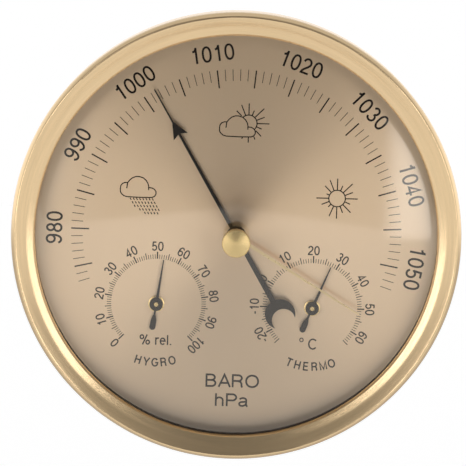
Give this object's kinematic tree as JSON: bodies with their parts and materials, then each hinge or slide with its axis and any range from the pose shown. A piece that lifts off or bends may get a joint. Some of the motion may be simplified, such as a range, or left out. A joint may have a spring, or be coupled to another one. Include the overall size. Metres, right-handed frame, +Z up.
{
  "type": "aneroid barometer",
  "caption": "Round wall barometer with a domed window, a black pressure hand, a brass set hand on a knob, and hygrometer and thermometer sub-dials, over a full aneroid movement.",
  "frame": {"origin": "centre of the case's flat back face, on the wall", "axes": "+Z up the wall, -Y out of the wall along the dial's axis towards the reader, +X to the reader's right"},
  "size_m": [0.132, 0.0463, 0.132],
  "materials": {
    "gold_aluminium": "satin gold anodised, spun",
    "champagne_dial": "brushed champagne metallic lacquer",
    "black_enamel": "semi-gloss black",
    "case_lacquer": "semi-matt black on pressed steel",
    "black_plastic": "matt",
    "clear_acrylic": "clear, polished",
    "rubber": "matt",
    "steel": "ground",
    "brass": "turned and polished",
    "beryllium_copper": "rolled spring alloy"
  },
  "bodies": {
    "case": {"rear_case": "case_lacquer", "case_screw_1": "steel", "case_screw_2": "steel", "case_screw_3": "steel", "movement_plate": "brass", "capsule_lower": "beryllium_copper", "capsule_upper": "beryllium_copper", "spring_stand": "brass", "lever_pin": "steel", "main_spring": "steel", "spring_screw_1": "steel", "spring_screw_2": "steel", "rocker_post_left": "brass", "rocker_post_right": "brass", "sector_stud": "steel", "arbor_bridge": "brass", "bridge_pillar_left": "brass", "bridge_pillar_right": "brass", "bridge_screw_left": "steel", "bridge_screw_right": "steel", "hairspring": "steel", "hairspring_stud": "brass", "dial_plate": "champagne_dial", "dial_ring": "black_plastic", "crystal": "clear_acrylic", "crystal_gasket": "rubber", "crystal_washer": "brass", "bezel": "gold_aluminium", "hygro_bracket": "brass", "hygro_coil": "steel", "hygro_bush": "brass", "thermo_bracket": "brass", "thermo_coil": "beryllium_copper", "thermo_bush": "brass"},
    "baro_hand": {"baro_pointer": "black_enamel", "pointer_arbor": "steel", "pointer_pinion": "steel", "hairspring_collet": "brass"},
    "sector": {"sector_gear": "brass"},
    "link": {"drive_link": "steel"},
    "rocker": {"rocking_shaft": "steel"},
    "lever": {"main_lever": "brass"},
    "stud": {"capsule_stud": "steel"},
    "hygro_hand": {"hygro_pointer": "black_enamel", "hygro_arbor": "brass"},
    "thermo_hand": {"thermo_pointer": "black_enamel", "thermo_arbor": "brass"},
    "set_hand_and_knob": {"set_knob": "brass", "set_shaft": "brass", "set_hand": "brass", "set_hand_collet": "brass"},
    "calibration": {"calibration_screw": "steel"}
  },
  "joints": [
    {"name": "baro_pointer_turn", "type": "hinge", "parent": "case", "child": "baro_hand", "pos_m": [0, -0.0277, 0], "axis": [0, 1, 0], "range_deg": [-77.74, 138.96], "stiffness_Nm_per_rad": 0.004},
    {"name": "sector_swing", "type": "hinge", "parent": "case", "child": "sector", "pos_m": [0, -0.006, -0.0301], "axis": [0, 1, 0], "range_deg": [-15.45, 8.65]},
    {"name": "link_travel", "type": "slide", "parent": "case", "child": "link", "axis": [0, 0, 1], "range_m": [-0.00244, 0.00137]},
    {"name": "rocker_rock", "type": "hinge", "parent": "case", "child": "rocker", "pos_m": [0, -0.0148, -0.012], "axis": [1, 0, 0], "range_deg": [-19.86, 11.12]},
    {"name": "lever_swing", "type": "hinge", "parent": "case", "child": "lever", "pos_m": [0, -0.0134, 0.036], "axis": [1, 0, 0], "range_deg": [-1.01, 1.81]},
    {"name": "capsule_travel", "type": "slide", "parent": "case", "child": "stud", "axis": [0, 1, 0], "range_m": [-0.00028394, 0.00050595]},
    {"name": "hygro_turn", "type": "hinge", "parent": "case", "child": "hygro_hand", "pos_m": [-0.0231, -0.026, -0.02135], "axis": [0, 1, 0], "range_deg": [-143.1, 126.9], "stiffness_Nm_per_rad": 0.0001},
    {"name": "thermo_turn", "type": "hinge", "parent": "case", "child": "thermo_hand", "pos_m": [0.0231, -0.026, -0.02135], "axis": [0, 1, 0], "range_deg": [-157.5, 112.5], "stiffness_Nm_per_rad": 0.0001},
    {"name": "set_hand_turn", "type": "hinge", "parent": "case", "child": "set_hand_and_knob", "pos_m": [0, -0.04, 0], "axis": [0, 1, 0], "continuous": true},
    {"name": "calibration_turn", "type": "hinge", "parent": "case", "child": "calibration", "pos_m": [0, -0.002, 0.02], "axis": [0, 1, 0], "continuous": true}
  ],
  "couplings": [
    {"joint": "sector_swing", "follows": "baro_pointer_turn", "ratio": -0.11111},
    {"joint": "link_travel", "follows": "baro_pointer_turn", "m_per_rad": -0.001},
    {"joint": "rocker_rock", "follows": "baro_pointer_turn", "ratio": -0.14286},
    {"joint": "lever_swing", "follows": "baro_pointer_turn", "ratio": 0.012987},
    {"joint": "capsule_travel", "follows": "baro_pointer_turn", "m_per_rad": 0.00020779}
  ]
}
